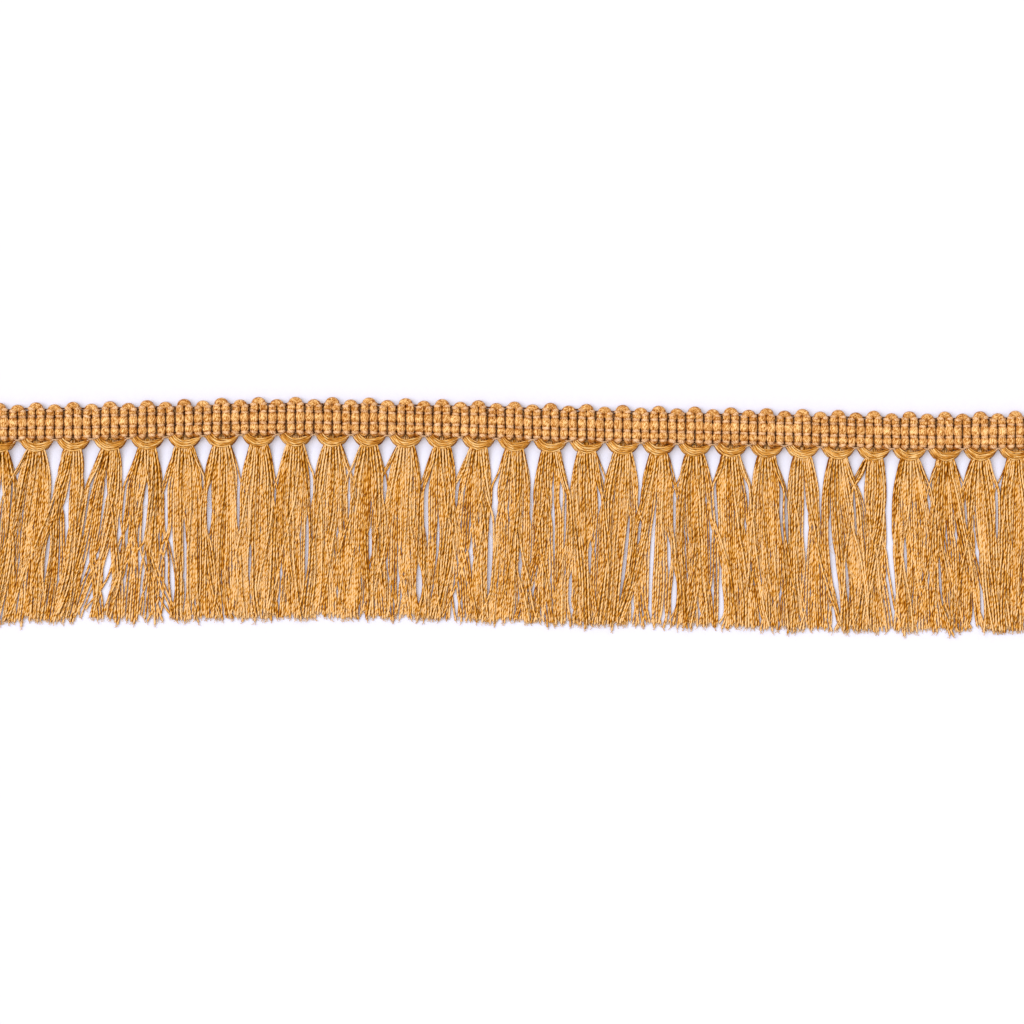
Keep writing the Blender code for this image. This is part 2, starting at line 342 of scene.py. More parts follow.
# Finishes
# How far the tone sets each pattern of one yarn apart from that of the next
SLOW_APART = (23, 57)
FIBRES_APART = 31
TURN_APART = 7
SLOW_SCALE = 0.16  # waves of the slow change in a millimetre of yarn
TURN_RATES = (0.75, 0.5)  # how tightly a yarn of tone 0 is twisted, and how much more one of tone 1
SLOW_TURN = 1.5  # turns that the slow change and the fibres shift the plies by
FIBRE_TURN = 0.15
PLY_RELIEF = 0.35  # how much a ply counts in the relief, and the fibres
FIBRE_RELIEF = 0.6
ROUGH_RANGE = 0.3  # over which the roughness changes with the fibres
SHEEN_LEVEL = 0.16
SHEEN_TINT = (1.0, 0.72, 0.34, 1.0)

# Chance, apart for the heading, for the tassels' shapes and for their locks' shades
heading_rng = np.random.default_rng(11)
rng = np.random.default_rng(13)
shade_rng = np.random.default_rng(7)


def smooth_line(place, values_mm):
    """A cubic Hermite curve through the stations' values, with the slopes of a central difference."""
    knots = np.array([station.tassel for station in STATIONS], float)
    values = np.array(values_mm) * MM
    slopes = np.gradient(values, knots)
    before = np.clip(np.searchsorted(knots, place) - 1, 0, len(knots) - 2)
    span = knots[before + 1] - knots[before]
    t = (place - knots[before]) / span
    return (
        (2 * t**3 - 3 * t**2 + 1) * values[before]
        + (t**3 - 2 * t**2 + t) * span * slopes[before]
        + (3 * t**2 - 2 * t**3) * values[before + 1]
        + (t**3 - t**2) * span * slopes[before + 1]
    )


def line_x(place):
    """Where a place on the trim lies along X."""
    return smooth_line(place, [station.x_mm for station in STATIONS])


def line_y(place):
    """Where the tall loops' tops lie at a place, along Y."""
    return TOP_LINE_Y + smooth_line(place, [station.rise_mm for station in STATIONS])


def fan_x(place):
    """Where a yarn from this place on the heading ends. The two sides of a slit lie apart."""
    places = [row.tassel + side * SLIT_EDGE for row in FAN for side in (-1, 1)]
    ends = [row.x_mm + side * row.slit_mm / 2 for row in FAN for side in (-1, 1)]
    return np.interp(place, places, ends) * MM


def fan_line(place, depth):
    """The line from a place on the heading to its end, by a power of the depth, which runs from 0 to 1."""
    share = depth**FAN_POWER
    return (1 - share) * line_x(place) + share * fan_x(place)


def waved(x, depth):
    """The wave that the whole fringe shares: a sine of X and the depth that grows with the depth."""
    return x + WAVE * depth * np.sin(2 * np.pi * x / WAVE_LENGTH + WAVE_TURN * depth)


def yarn_x(tassel, place, depth):
    """A yarn's place along the trim at a depth from 0, the neck, to 1, the cut ends.

    It follows its fan line, drawn towards its tassel's middle by a share that falls with the depth
    to nothing where two tassels meet, on the wave that the whole fringe shares.
    """
    held = np.clip(1 - depth / NECK_REACH, 0, 1) ** NECK_POWER
    drawn_in = (1 - NECK_SHARE) * held * (line_x(place) - line_x(tassel))
    return waved(fan_line(place, depth) - drawn_in, depth)


def unit(vectors):
    """The vectors, each made 1 long."""
    return vectors / np.maximum(np.linalg.norm(vectors, axis=-1, keepdims=True), 1e-12)


def along(centre, closed=False):
    """The direction of each path at each of its stations, by central differences."""
    if closed:
        return unit(np.roll(centre, -1, 1) - np.roll(centre, 1, 1))
    return unit(np.gradient(centre, axis=1))


def run_length(centre):
    """How far each station lies along its path."""
    steps = np.linalg.norm(np.diff(centre, axis=1), axis=-1)
    return np.concatenate([np.zeros((len(centre), 1)), np.cumsum(steps, axis=1)], axis=1)


Tubes = namedtuple("Tubes", "points run tone shade closed rows")


def tubes(centre, wide, high, sides, up, tone, shade=0.0, closed=False, rows=1):
    """Tubes along several paths at once.

    A section is an ellipse of half axes wide and high, in the plane across the path, read round
    from its lowest point. The tone sets a path apart from others, and the shade may change along it.
    """
    direction = along(centre, closed)
    side = unit(np.cross(direction, up))
    rise = np.cross(side, direction)
    angle = np.arange(sides) * 2 * np.pi / sides - np.pi / 2
    wide, high = (np.broadcast_to(size, centre.shape[:2])[..., None] for size in (wide, high))
    across = (wide * np.cos(angle))[..., None] * side[:, :, None, :]
    upwards = (high * np.sin(angle))[..., None] * rise[:, :, None, :]
    points = centre[:, :, None, :] + across + upwards
    tone, shade = (np.broadcast_to(values, centre.shape[:2]) for values in (tone, shade))
    return Tubes(points, run_length(centre), tone, shade, closed, rows)


def wall_faces(part, lane, lanes):
    """The four-sided faces round a part's tubes: their points, and both maps at their corners.

    A face's corners are a station and the next by a side and the next. The yarn map holds the share
    of the way round and the millimetres along the path. The bake map has a lane for each row.
    """
    paths, stations, sides = part.points.shape[:3]
    spans = stations if part.closed else stations - 1
    path, station, side = np.meshgrid(*map(np.arange, (paths, spans, sides)), indexing="ij")
    path = path.reshape(-1, 1)
    station = np.stack([station, station + 1, station + 1, station], -1).reshape(-1, 4)
    side = np.stack([side, side, side + 1, side + 1], -1).reshape(-1, 4)
    corners = (path * stations + station % stations) * sides + side % sides
    step = np.diff(part.run, axis=1).mean(axis=1)
    run = path * PATTERN_STEP + step[path] * station / MM
    spans_per_row = -(-spans // part.rows)
    row = station[:, :1] // spans_per_row
    across = lane + path * part.rows + row + LANE_EDGE + (1 - 2 * LANE_EDGE) * side / sides
    down = LANE_END + (1 - 2 * LANE_END) * (station - row * spans_per_row) / spans_per_row
    return corners, np.stack([side / sides, run], -1), np.stack([across / lanes, down], -1)


def end_faces(part, lane, lanes):
    """The flat ends of a part's tubes, the first ones and then the last: their points, and both maps."""
    paths, stations, sides = part.points.shape[:3]
    rings = np.arange(paths)[:, None] * stations * sides + np.arange(sides)
    last_row = (stations - 2) // -(-(stations - 1) // part.rows)
    for last, order in ((0, 1), (1, -1)):
        corners = (rings + last * (stations - 1) * sides)[:, ::order]
        share = np.arange(sides)[::order] / sides
        run = part.run[:, -1:] * last / MM
        own_lane = lane + np.arange(paths)[:, None] * part.rows + last * last_row
        across = (own_lane + 0.5 + CAP_WIDE * np.cos(2 * np.pi * share)) / lanes
        edge = 1 - CAP_EDGE if last else CAP_EDGE
        down = edge + CAP_HIGH * np.sin(2 * np.pi * share)
        yarn_map = np.stack(np.broadcast_arrays(share, run), -1)
        yield corners, yarn_map, np.stack(np.broadcast_arrays(across, down), -1)


def piece_mesh(name, parts):
    """One mesh of tubes with flat ends.

    It has two maps, "yarn" for the finishes and "OFBake", where the tubes lie unrolled side by side,
    and it holds its tubes' tone and shade.
    """
    faces, sizes = [], []
    first, lane = 0, 0
    lanes = sum(part.points.shape[0] * part.rows for part in parts)
    for part in parts:
        blocks = [wall_faces(part, lane, lanes)]
        if not part.closed:
            blocks += end_faces(part, lane, lanes)
        for corners, yarn_map, bake_map in blocks:
            faces.append((first + corners.reshape(-1), yarn_map.reshape(-1, 2), bake_map.reshape(-1, 2)))
            face_count, corner_count = corners.shape
            sizes.append(np.full(face_count, corner_count))
        first += part.points.size // 3
        lane += part.points.shape[0] * part.rows
    corners, yarn_map, bake_map = (np.concatenate(column) for column in zip(*faces))
    sizes = np.concatenate(sizes)
    points = np.concatenate([part.points.reshape(-1, 3) for part in parts])
    mesh = bpy.data.meshes.new(name)
    mesh.vertices.add(len(points))
    mesh.vertices.foreach_set("co", points.astype(np.float32).ravel())
    mesh.loops.add(len(corners))
    mesh.polygons.add(len(sizes))
    starts = np.concatenate([[0], np.cumsum(sizes)[:-1]])
    mesh.polygons.foreach_set("loop_start", starts.astype(np.int32))
    mesh.polygons.foreach_set("vertices", corners.astype(np.int32))
    mesh.polygons.foreach_set("use_smooth", sizes == 4)
    mesh.update(calc_edges=True)
    for map_name, places in (("yarn", yarn_map), ("OFBake", bake_map)):
        layer = mesh.uv_layers.new(name=map_name)
        layer.uv.foreach_set("vector", places.astype(np.float32).ravel())
    for mark_name in ("tone", "shade"):
        values = [np.repeat(getattr(part, mark_name), part.points.shape[2]) for part in parts]
        mark = mesh.attributes.new(mark_name, "FLOAT", "POINT")
        mark.data.foreach_set("value", np.concatenate(values).astype(np.float32))
    return mesh


def add_piece(name, parts, material, nodes=()):
    """A piece of the trim, which rides on its body and stands for its nodes."""
    mesh = piece_mesh(name, parts)
    mesh.materials.append(material)
    piece = bpy.data.objects.new(name, mesh)
    bpy.context.scene.collection.objects.link(piece)
    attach(piece, "root")
    if nodes:
        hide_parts(*nodes)
    return piece


class Value:
    """A socket in a material's nodes. Arithmetic on it lays Math nodes after it."""

    def __init__(self, finish, socket):
        self.finish = finish
        self.socket = socket

    def math(self, operation, *others, swap=False):
        """A Math node on this value and the others, or the other way round."""
        values = [self, *others]
        if swap:
            values.reverse()
        return self.finish.node("ShaderNodeMath", {"operation": operation}, dict(enumerate(values)))

    def __add__(self, other):
        return self.math("ADD", other)

    def __sub__(self, other):
        return self.math("SUBTRACT", other)

    def __mul__(self, other):
        return self.math("MULTIPLY", other)

    def __truediv__(self, other):
        return self.math("DIVIDE", other)

    def __pow__(self, other):
        return self.math("POWER", other)

    def __rsub__(self, other):
        return self.math("SUBTRACT", other, swap=True)

    __radd__ = __add__
    __rmul__ = __mul__


class Finish:
    """A material, with its nodes laid one by one."""

    def __init__(self, name):
        self.material = bpy.data.materials.new(name)
        self.material.use_nodes = True
        self.tree = self.material.node_tree
        self.shader = self.tree.nodes["Principled BSDF"]

    def put(self, node, sockets):
        """Sets or links a node's sockets, by their names or numbers."""
        for key, value in sockets.items():
            if isinstance(value, Value):
                self.tree.links.new(value.socket, node.inputs[key])
            else:
                node.inputs[key].default_value = value

    def node(self, kind, settings, sockets, output=0):
        """A node of any kind: its settings come first, with a ramp's stops among them, then its sockets."""
        node = self.tree.nodes.new(kind)
        for key, value in settings.items():
            if key == "stops":
                while len(node.color_ramp.elements) < len(value):
                    node.color_ramp.elements.new(0.5)
                for stop, (place, colour) in zip(node.color_ramp.elements, value):
                    stop.position = place
                    stop.color = (*colour, 1.0)
            else:
                setattr(node, key, value)
        self.put(node, sockets)
        return Value(self, node.outputs[output])

    def noise(self, vector, scale, detail=2.0):
        """Noise from 0 to 1 that is 0.5 on average."""
        sockets = {"Vector": vector, "Scale": scale, "Detail": detail}
        return self.node("ShaderNodeTexNoise", {}, sockets)

    def point(self, x, y, z):
        """A vector of three values."""
        return self.node("ShaderNodeCombineXYZ", {}, {0: x, 1: y, 2: z})


# How the plies turn, and the fibres on them: cells round the yarn and along a millimetre, and how
# many millimetres of yarn they take to go round it. Its face is at a share of the way round
Twist = namedtuple("Twist", "plies turn_mm across along lay_mm face")
# How much each counts in the colour, with the power by which the painted shade at the sides does, and what
# is added to all
Blend = namedtuple("Blend", "ply fibres slow tone side edge base")


def wound_finish(name, stops, blend, twist, roughness, relief):
    """Twisted yarn.

    A ply is the cosine of plies times the way round, which turns along the yarn. The fibres are
    noise stretched along it. The colour runs over the ramp's stops by a blend of the ply, the
    fibres, a slow change along the yarn, the yarn's own tone and shade, which holds painted shade
    and light, and painted shade at its sides, by a power of how far they are from its face and
    its back. The tone also sets each pattern of one yarn apart from that of the next.
    """
    finish = Finish(name)
    place = finish.node("ShaderNodeUVMap", {"uv_map": "yarn"}, {})
    parts = finish.tree.nodes.new("ShaderNodeSeparateXYZ")
    finish.tree.links.new(place.socket, parts.inputs[0])
    around, run = (Value(finish, parts.outputs[axis]) for axis in (0, 1))
    tone = finish.node("ShaderNodeAttribute", {"attribute_name": "tone"}, {}, output=2)
    shade = finish.node("ShaderNodeAttribute", {"attribute_name": "shade"}, {}, output=2)
    own = finish.point(tone * SLOW_APART[0], run * SLOW_SCALE, tone * SLOW_APART[1])
    slow = finish.noise(own, scale=1.0, detail=1.0)
    lain = (around + run / twist.lay_mm) * twist.across
    own = finish.point(lain, run * twist.along, tone * FIBRES_APART)
    fibres = finish.noise(own, scale=1.0, detail=2.0)
    turned = around + run * (tone * TURN_RATES[1] + TURN_RATES[0]) / twist.turn_mm
    turned = turned + slow * SLOW_TURN + tone * TURN_APART + fibres * FIBRE_TURN
    ply = (turned * (twist.plies * np.pi)).math("COSINE").math("ABSOLUTE")
    shade = shade + ply * blend.ply + (fibres - 0.5) * blend.fibres + (slow - 0.5) * blend.slow
    # Painted shade: the colour darkens towards the tube's sides, away from its face and its back
    away = 1 - ((around - twist.face) * (2 * np.pi)).math("COSINE").math("ABSOLUTE")
    shade = shade + tone * blend.tone + blend.base - away**blend.edge * blend.side
    colour = finish.node("ShaderNodeValToRGB", {"stops": stops}, {0: shade})
    height = ply * PLY_RELIEF + fibres * FIBRE_RELIEF
    bump = finish.node("ShaderNodeBump", {}, {"Height": height, "Distance": relief, "Strength": 1.0})
    settings = {
        "Base Color": colour,
        "Roughness": roughness + (0.5 - fibres) * ROUGH_RANGE,
        "Normal": bump,
        "Specular IOR Level": SHEEN_LEVEL,
        "Specular Tint": SHEEN_TINT,
    }
    finish.put(finish.shader, settings)
    return finish.material


YARN_STOPS = (
    (0.0, (0.18, 0.042, 0.000)),
    (0.35, (0.43, 0.142, 0.001)),
    (0.65, (0.69, 0.340, 0.058)),
    (1.0, (0.81, 0.52, 0.25)),
)
SWAG_STOPS = (
    (0.0, (0.19, 0.040, 0.000)),
    (0.35, (0.48, 0.180, 0.016)),
    (0.65, (0.73, 0.360, 0.074)),
    (1.0, (0.92, 0.64, 0.30)),
)
GIMP_STOPS = (
    (0.0, (0.22, 0.045, 0.000)),
    (0.35, (0.45, 0.170, 0.024)),
    (0.65, (0.70, 0.36, 0.115)),
    (1.0, (0.93, 0.61, 0.28)),
)
BINDING_STOPS = (
    (0.0, (0.20, 0.07, 0.02)),
    (0.4, (0.60, 0.33, 0.15)),
    (0.7, (0.74, 0.46, 0.25)),
    (1.0, (0.86, 0.60, 0.38)),
)


def paper_finish():
    """Pale paper with a faint grain. Its faint warm glow is painted light, so that slits stay pale."""
    finish = Finish("paper")
    place = finish.node("ShaderNodeTexCoord", {}, {}, output=3)
    grain = finish.noise(place, scale=900.0, detail=4.0)
    stops = ((0.3, (0.615, 0.645, 0.790)), (0.7, (0.630, 0.660, 0.805)))
    settings = {
        "Base Color": finish.node("ShaderNodeValToRGB", {"stops": stops}, {0: grain}),
        "Roughness": 0.9,
        "Specular IOR Level": 0.2,
        # Painted light: a faint warm glow, as of light bounced off the yarns into the slits
        "Emission Color": (1.0, 0.77, 0.54, 1.0),
        "Emission Strength": 0.14,
    }
    finish.put(finish.shader, settings)
    return finish.material


def rib_places():
    """The places of the ribs, and whether each stands under a tall loop. A loop spans two of them."""
    rib = np.arange(RIB_COUNT)
    tall = (rib + 1) // 2 % 2 == 1
    return TRIM_START + (rib + 0.5) / RIBS_PER_TASSEL, tall


# The rows of binding, by their depth under the tall loops' tops, and how far they follow the short ones
Row = namedtuple("Row", "depth falls")
ROWS = (
    Row(1.65 * MM, 0.8),
    Row(3.25 * MM, 0.3),
    Row(5.95 * MM, 0.0),
    Row(8.1 * MM, 0.0),
)
BEADS = (2.5 * MM, 4.6 * MM, 7.0 * MM)  # the middles of the cord's beads between them
BEAD_LENGTH = 0.8 * MM


def row_depth(row, tall):
    """How far a row of binding lies under the tall loops' line."""
    return row.depth + np.where(tall, 0.0, row.falls * SHORT_LOOP)


def gimp_path():
    """The gimp cord's middle line, all in one, with its half width, height and shade.

    Each rib is half a loop, a straight leg and half a turn. A loop is a half ellipse between two
    ribs' lines, pinched together, and a turn is a squarer one that dips behind them. Every other
    rib is run upwards. The cord is drawn in at each row of binding by a bell curve, with painted
    shade there, and its turns get painted shade too.
    Its beads between the rows are a little larger or smaller and aside by chance, by a bell curve too.
    """
    place, tall = rib_places()
    sign = np.where(np.arange(RIB_COUNT) % 2 == 0, 1.0, -1.0)  # a loop is left of an even rib
    short = np.where(tall, 0.0, SHORT_LOOP)
    x, line = line_x(place), line_y(place)
    loop_x = line_x(place - sign * 0.5 / RIBS_PER_TASSEL)
    turn_x = line_x(place + sign * 0.5 / RIBS_PER_TASSEL)
    loop_y = line_y(place - sign * 0.5 / RIBS_PER_TASSEL) - short - LOOP_CORD - LOOP_RISE
    turn_y = line - HEADING_DEPTH + short + TURN_WIDE + TURN_DROP
    turn_low = line_y(place + sign * 0.5 / RIBS_PER_TASSEL) - HEADING_DEPTH + SHORT_LOOP / 2 + TURN_WIDE
    arc = np.linspace(0, np.pi / 2, LOOP_STATIONS)[:-1]
    leg = np.linspace(0, 1, LEG_STATIONS)[:-1]
    bend = np.linspace(0, np.pi / 2, TURN_STATIONS)
    x, line, loop_x, turn_x, loop_y, turn_y, turn_low = (
        row[:, None] for row in (x, line, loop_x, turn_x, loop_y, turn_y, turn_low)
    )
    pinch = LOOP_PINCH * np.clip(1 - leg / PINCH_FADE, 0, 1) ** 2
    path_x = np.concatenate(
        [
            loop_x + (1 - LOOP_PINCH) * (x - loop_x) * np.sin(arc),
            x + pinch * (loop_x - x),
            x + (turn_x - x) * (1 - np.abs(np.cos(bend)) ** TURN_SQUARENESS),
        ],
        axis=1,
    )
    path_y = np.concatenate(
        [
            loop_y + LOOP_RISE * np.cos(arc),
            loop_y + (turn_y - loop_y) * leg,
            turn_y + (turn_low - turn_y) * np.sin(bend) ** TURN_SQUARENESS,
        ],
        axis=1,
    )
    loop_share = np.concatenate([np.cos(arc), 0 * leg, 0 * bend])
    turn_share = np.concatenate([0 * arc, 0 * leg, np.sin(bend) ** TURN_FADE])
    path_z = CORD_LEVEL - LOOP_DIP * loop_share - TURN_DIP * turn_share + 0 * path_x
    drawn = np.zeros_like(path_x)
    for row in ROWS:
        away = (line - row_depth(row, tall)[:, None] - path_y) / WAIST_LENGTH
        drawn += np.exp(-(away**2)) * (1 - loop_share)
    full = 1 + 0 * path_x
    for middle in BEADS:
        bell = np.exp(-(((line - middle - path_y) / BEAD_LENGTH) ** 2))
        full += heading_rng.normal(0, BEAD_UNEVEN, x.shape) * bell
        path_x += heading_rng.normal(0, BEAD_ASIDE_MM, x.shape) * MM * bell
    wide = BEAD_WIDE * full * (1 - WAIST_WIDE * drawn)
    high = BEAD_HIGH * full * (1 - WAIST_HIGH * drawn)
    wide = wide + (LOOP_CORD - wide) * loop_share + (TURN_WIDE - wide) * turn_share
    high = high + (LOOP_CORD - high) * loop_share + (TURN_HIGH - high) * turn_share
    # Painted shade where the binding draws the cord in and where it turns behind the ribs
    shade = -LOOP_SHADE * loop_share - WAIST_PAINTED_SHADE * drawn - TURN_PAINTED_SHADE * turn_share
    arrays = [path_x, path_y, path_z, wide, high, shade]
    for array in arrays:
        array[1::2] = array[1::2, ::-1]
    path_x, path_y, path_z, wide, high, shade = (array.reshape(1, -1) for array in arrays)
    centre = np.stack([path_x, path_y, path_z], -1)
    apart = np.linalg.norm(np.diff(centre, axis=1), axis=-1)[0] > SAME_PLACE
    keep = np.concatenate([[True], apart])
    return centre[:, keep], wide[:, keep], high[:, keep], shade[:, keep]


def add_gimp(material):
    """The gimp cord, which stands for the heading."""
    centre, wide, high, shade = gimp_path()
    cord = tubes(centre, wide, high, sides=12, up=(0, 0, 1), tone=0.5, shade=shade, rows=14)
    return add_piece("heading_gimp", [cord], material, ["heading"])


def binding_threads():
    """Rows of thread, each over every other rib as a half ellipse and straight between and under them.

    The ellipse is a squarer one, by a power, and the thread spreads on top of a rib.
    """
    bend = np.linspace(-1, 1, BINDING_STATIONS) * np.pi / 2
    over = np.clip(np.cos(bend), 0, 1) ** BINDING_SQUARENESS
    over = np.concatenate([[0], over, [0]])
    across = np.sign(bend) * np.abs(np.sin(bend)) ** BINDING_SQUARENESS
    across = np.concatenate([[-BINDING_NEXT], across, [BINDING_NEXT]]) * BINDING_REACH
    threads = []
    places, tall = rib_places()
    for row in ROWS:
        for thread in (0, 1):
            place = places[thread::2, None]
            aside = heading_rng.normal(0, BINDING_ASIDE_MM, place.shape) * MM
            y = line_y(place) - row_depth(row, tall)[thread::2, None] + aside
            z = BINDING_UNDER + (BINDING_OVER - BINDING_UNDER) * over
            sway = heading_rng.normal(0, BINDING_SWAY_MM, place.shape) * MM * np.sign(across)
            path = np.stack(np.broadcast_arrays(line_x(place) + across, y + sway, z), -1)
            threads.append(path.reshape(-1, 3))
    threads = np.stack(threads)
    shape = (len(threads), len(places) // 2, 1)
    spread = heading_rng.uniform(*BINDING_SPREAD, shape) * over
    wide = (BINDING_NARROW + (BINDING_WIDE - BINDING_NARROW) * spread).reshape(threads.shape[:2])
    # Chance tones, with painted light on the ribs and painted shade in the valleys between them
    shade = heading_rng.uniform(*BINDING_TONES, shape) + BINDING_RIB_PAINTED_LIGHT * over
    shade = (shade + BINDING_VALLEY_PAINTED_SHADE).reshape(threads.shape[:2])
    # Its width lies along Y, which is the tube's rise
    return tubes(threads, BINDING_HIGH, wide, sides=8, up=(0, 1, 0), tone=0.5, shade=shade, rows=4)


def ground_threads():
    """Flat threads that run straight along the heading behind its ribs, side by side, a little darker as
    painted shade.
    """
    depth = np.linspace(*GROUND_DEPTHS_MM, GROUND_THREADS)[:, None] * MM
    first, last = TRIM_START + GROUND_INSET, TRIM_START + TASSEL_COUNT - GROUND_INSET
    place = np.linspace(first, last, RIB_COUNT * 2)
    y = line_y(place) - depth
    centre = np.stack([line_x(place) + 0 * y, y, GROUND_LEVEL + 0 * y], -1)
    return tubes(centre, GROUND_WIDE, GROUND_HIGH, sides=6, up=(0, 0, 1), tone=0.5, shade=GROUND_PAINTED_SHADE)


def tie_threads():
    """Two fine threads crossed over the heading's lower edge between each two tassels.

    A thread rises with the way along it and sags with its square. It arches by its fourth power.
    """
    gap = np.arange(TASSEL_COUNT - 1)[:, None] + 0.5
    share = np.linspace(-1, 1, TIE_STATIONS)
    ties = []
    for lean in (-1, 1):
        reach = heading_rng.uniform(*TIE_REACH_MM, gap.shape) * MM
        rise = lean * heading_rng.uniform(*TIE_RISE_MM, gap.shape) * MM
        x = line_x(gap) + reach * share
        y = line_y(gap) - TIE_DEPTH + rise * share - TIE_SAG * share**2
        z = (TIE_LEVEL_MM + TIE_APART_MM * lean - TIE_DROP_MM * share**4) * MM + 0 * x
        ties.append(np.stack([x, y, z], -1))
    centre = np.concatenate(ties)
    return tubes(centre, TIE_YARN, TIE_YARN, sides=4, up=(0, 0, 1), tone=0.5, shade=TIE_SHADE)


def add_binding(material):
    """The binding and the tie threads."""
    return add_piece("heading_binding", [binding_threads(), tie_threads()], material)


def add_ground(material):
    """The threads behind the ribs."""
    return add_piece("heading_ground", [ground_threads()], material)


def from_to(a, b, c, d, t):
    """The Catmull-Rom curve from b at t 0 to c at t 1, with a before them and d after."""
    return 0.5 * (
        2 * b + (c - a) * t + (2 * a - 5 * b + 4 * c - d) * t**2 + (3 * b - a - 3 * c + d) * t**3
    )


def rounded_path(controls, between):
    """A closed Catmull-Rom curve through each path's control points."""
    before, after, later = (np.roll(controls, shift, 1) for shift in (1, -1, -2))
    t = (np.arange(between) / between)[None, None, :, None]
    a, b, c, d = (row[:, :, None, :] for row in (before, controls, after, later))
    return from_to(a, b, c, d, t).reshape(len(controls), -1, 3)


def swag_tubes(tassel):
    """The swag round one tassel's neck, as closed rings of yarn.

    In front a ring hangs from the ribs' ends as a flat arch, a power of the way across. The yarns
    start spread out at the left, where the lower ones start further out, and come together at the
    right, thicker and darker with painted shade. Behind, they run straight across under the neck.
    """
    yarn = np.arange(SWAG_YARNS)[:, None]
    share = np.array(SWAG_FRONT)
    fan = (SWAG_YARNS - 1 - yarn) * rng.uniform(*SWAG_FAN_MM) * MM
    reach = SWAG_HALF_WIDTH - np.where(share < 0, fan, SWAG_GATHER_MM * yarn * MM)
    depth, left_lift, right_lift, back_depth = (
        (first + step * yarn) * MM
        for first, step in (SWAG_DEPTH_MM, SWAG_LEFT_LIFT_MM, SWAG_RIGHT_LIFT_MM, SWAG_BACK_DEPTH_MM)
    )
    hang = 1 - np.abs(share) ** SWAG_HANG
    lift = np.where(share < 0, left_lift, right_lift)
    upper = line_y(tassel) - HEADING_DEPTH - SWAG_EDGE
    front_level = np.array(SWAG_LEVELS_MM)[:, None] * MM
    front = np.stack(
        np.broadcast_arrays(
            line_x(tassel) + share * reach,
            upper + lift - (depth + lift) * hang,
            SWAG_END_LEVEL + (front_level - SWAG_END_LEVEL) * (1 - share**4),
        ),
        -1,
    )
    share = np.array(SWAG_BACK)
    back_x, back_y = line_x(tassel) + share * SWAG_HALF_WIDTH, upper - back_depth
    back = np.stack(np.broadcast_arrays(back_x, back_y, SWAG_BACK_LEVEL), -1)
    centre = rounded_path(np.concatenate([front, back], axis=1), SWAG_BETWEEN)
    rightwards = np.clip((centre[:, :, 0] - line_x(tassel)) / SWAG_HALF_WIDTH, 0, 1)
    size = SWAG_YARN * (1 + SWAG_SWELL * rightwards)
    tone = rng.uniform(0, 1, (SWAG_YARNS, 1))
    shade = SWAG_SHADE + SWAG_RIGHT_PAINTED_SHADE * rightwards**SWAG_SHADE_POWER
    return tubes(centre, size, size, sides=8, up=(0, 1, 0), tone=tone, shade=shade, closed=True)


def all_slits():
    """The slits seen in the photo, and one of chance size below each gap between two tassels."""
    gap = np.arange(TASSEL_COUNT - 1) + 0.5
    above = rng.uniform(*CHANCE_SLIT_ABOVE, gap.shape)
    below = above + rng.uniform(*CHANCE_SLIT_LONG, gap.shape)
    middle = (above + below) / 2
    wide = rng.uniform(*CHANCE_SLIT_WIDE_MM, gap.shape)
    x = waved(fan_line(gap + rng.uniform(*CHANCE_SLIT_ASIDE, gap.shape), middle), middle) / MM
    return np.concatenate([np.array(SLITS), np.stack([x, above, below, wide], axis=1)])


def slit_edges(slits, depth):
    """The middle and the half width of each slit at each depth, and where it is open.

    A slit's middle follows the fan line through its own middle. Its half width is the square root
    of a half sine of the way down it.
    """
    x, above, below, wide = slits.T[..., None]
    half_way = (above + below) / 2
    places = np.linspace(TRIM_START, TRIM_START + TASSEL_COUNT, SLIT_PLACES)
    nearest = np.abs(waved(fan_line(places, half_way), half_way) - x * MM).argmin(axis=1)
    place = places[nearest][:, None]
    share = np.clip((depth - above) / (below - above), 0, 1)
    half = SLIT_SHARE * wide * MM / 2 * np.sqrt(np.sin(np.pi * share))
    return waved(fan_line(place, depth), depth), half, (share > 0) & (share < 1)


